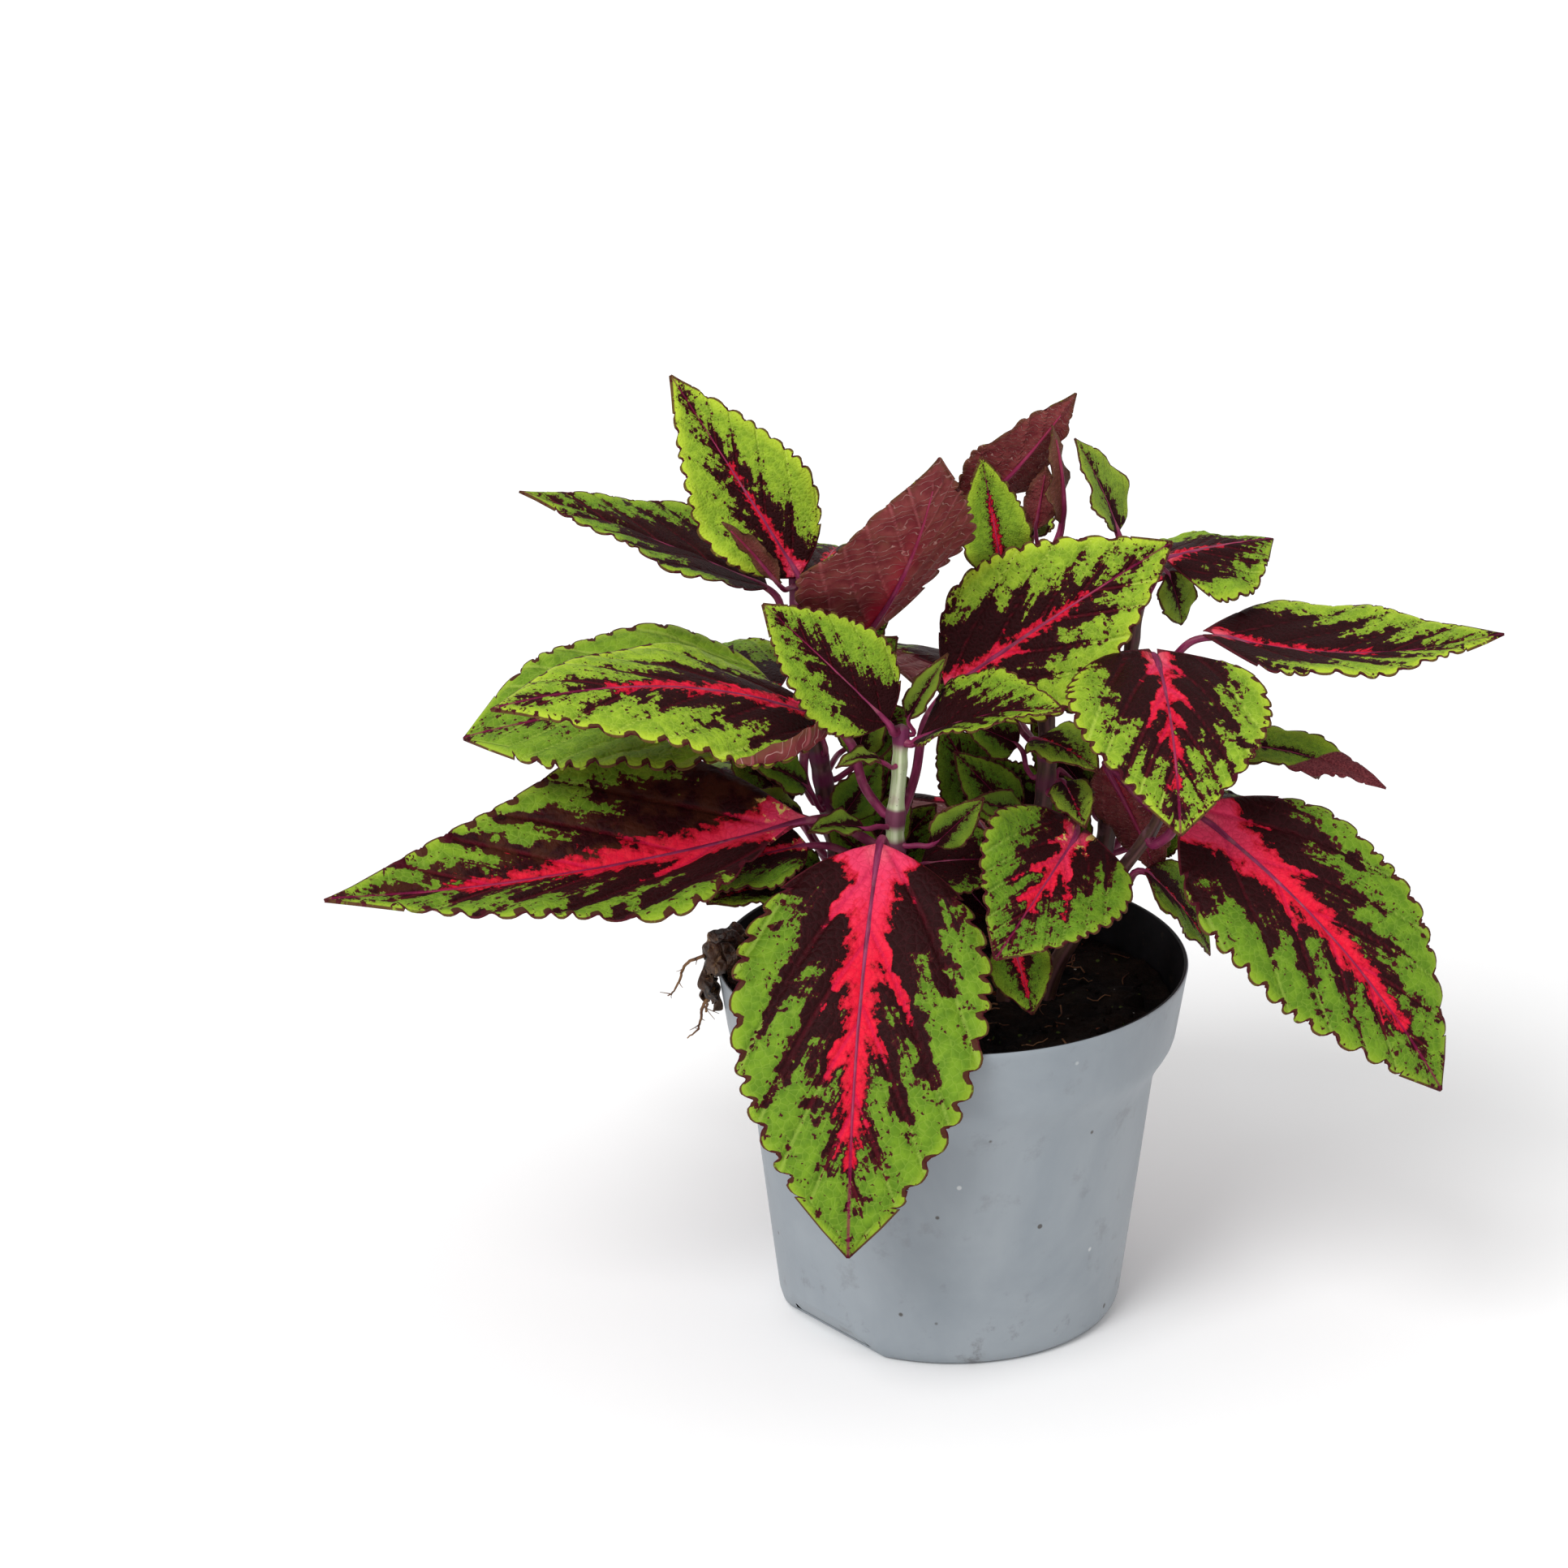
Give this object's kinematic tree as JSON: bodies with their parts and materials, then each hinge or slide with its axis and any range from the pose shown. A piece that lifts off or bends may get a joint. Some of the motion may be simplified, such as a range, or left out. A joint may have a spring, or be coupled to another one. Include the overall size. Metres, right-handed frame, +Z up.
{
  "type": "potted coleus",
  "caption": "Coleus plant with toothed leaves on upright stems, growing in a round tapered nursery pot filled with soil.",
  "frame": {"origin": "centre of the pot's base, on the surface that it stands on", "axes": "+Z up; the plant's front, as the picture shows it, looks along -Y; +X to the right of that view"},
  "size_m": [0.2933, 0.1858, 0.2414],
  "materials": {
    "pot_plastic": "satin",
    "potting_soil": "rough",
    "stem": "matte",
    "leaf": "satin",
    "leaf_underside": "satin",
    "withered_leaf": "matte"
  },
  "bodies": {
    "root": {"pot": "pot_plastic", "soil": "potting_soil", "stem_front": "stem", "stem_left": "stem", "stem_centre": "stem", "stem_right": "stem", "stem_right_low": "stem", "leaf_front_large": "leaf", "leaf_left_low": "leaf", "leaf_left_mid": "leaf", "leaf_left_behind": "leaf", "leaf_left_small": "leaf", "leaf_young_left": "leaf", "leaf_young_right": "leaf", "leaf_upper_left": "leaf", "leaf_far_left": "leaf", "leaf_upper_centre": "leaf_underside", "leaf_centre_right": "leaf", "leaf_top_centre": "leaf", "leaf_top_right": "leaf_underside", "leaf_right_mid": "leaf", "leaf_far_right": "leaf", "leaf_upper_right": "leaf", "leaf_right_low": "leaf", "leaf_right_behind": "leaf", "leaf_front_right": "leaf", "leaf_low_front": "leaf", "leaf_over_rim": "leaf", "leaf_upright_right": "leaf", "leaf_upright_purple": "leaf_underside", "leaf_hanging_purple": "leaf_underside", "leaf_inner_right": "leaf", "leaf_inner_low": "leaf", "leaf_back_left": "leaf", "leaf_back": "leaf", "leaf_back_right": "leaf", "leaf_upper_back_left": "leaf", "leaf_upper_back_right": "leaf", "leaf_back_low_left": "leaf", "leaf_back_low": "leaf", "leaf_back_low_right": "leaf", "leaf_top_back": "leaf", "withered_leaf": "withered_leaf"}
  },
  "joints": []
}
